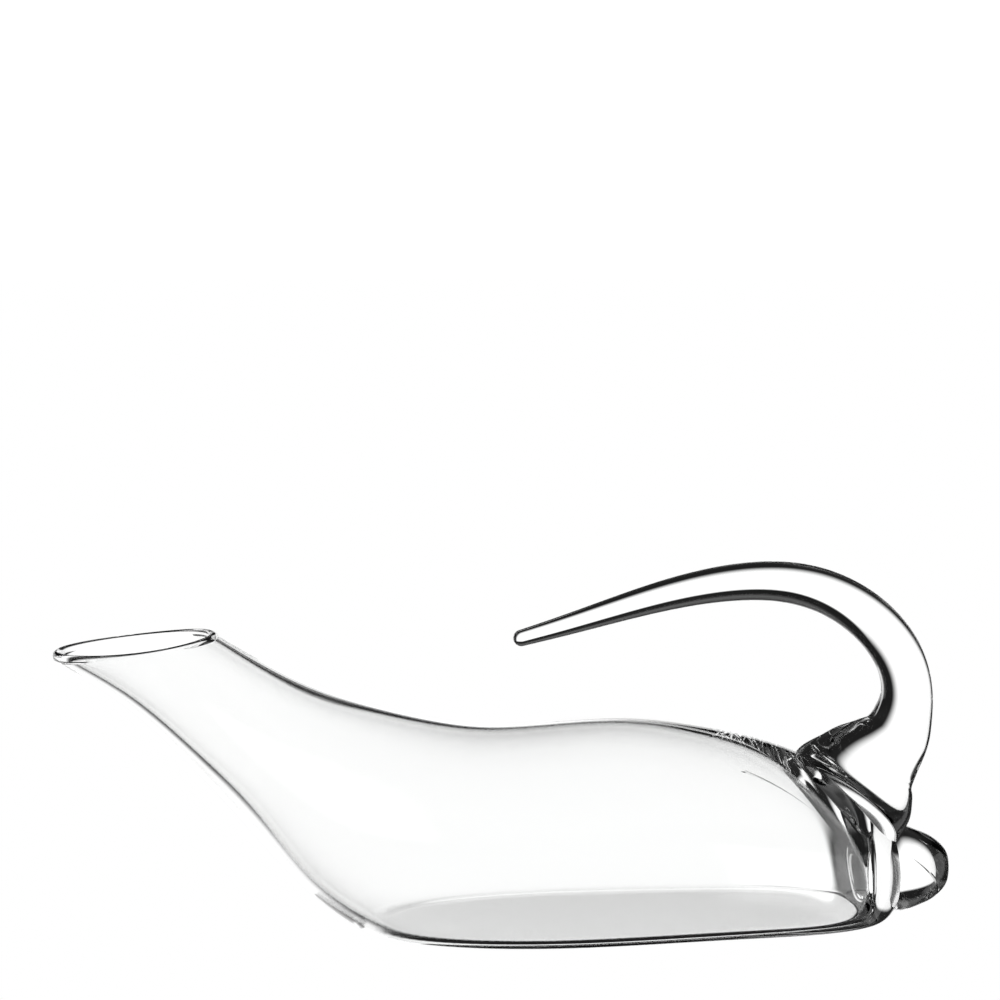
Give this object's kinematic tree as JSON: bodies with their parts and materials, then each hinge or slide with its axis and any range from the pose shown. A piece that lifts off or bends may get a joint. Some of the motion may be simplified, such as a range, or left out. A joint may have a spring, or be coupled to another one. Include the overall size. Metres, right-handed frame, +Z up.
{
  "type": "wine decanter",
  "caption": "Duck-shaped clear glass wine decanter: lying blown bowl with a leaning open neck, solid heel and tail knob, and an arched tapered rod handle on a pad.",
  "frame": {"origin": "on the table plane, under the middle of the overall length and on the plane of symmetry", "axes": "+X along the length from the mouth towards the tail knob, +Y across, +Z up"},
  "size_m": [0.35, 0.1022, 0.1405],
  "materials": {
    "clear_glass": "polished clear glass with a faint grey-green cast in thick sections"
  },
  "bodies": {
    "root": {"bowl": "clear_glass", "tail_knob": "clear_glass", "handle_pad": "clear_glass", "handle": "clear_glass"}
  },
  "joints": []
}
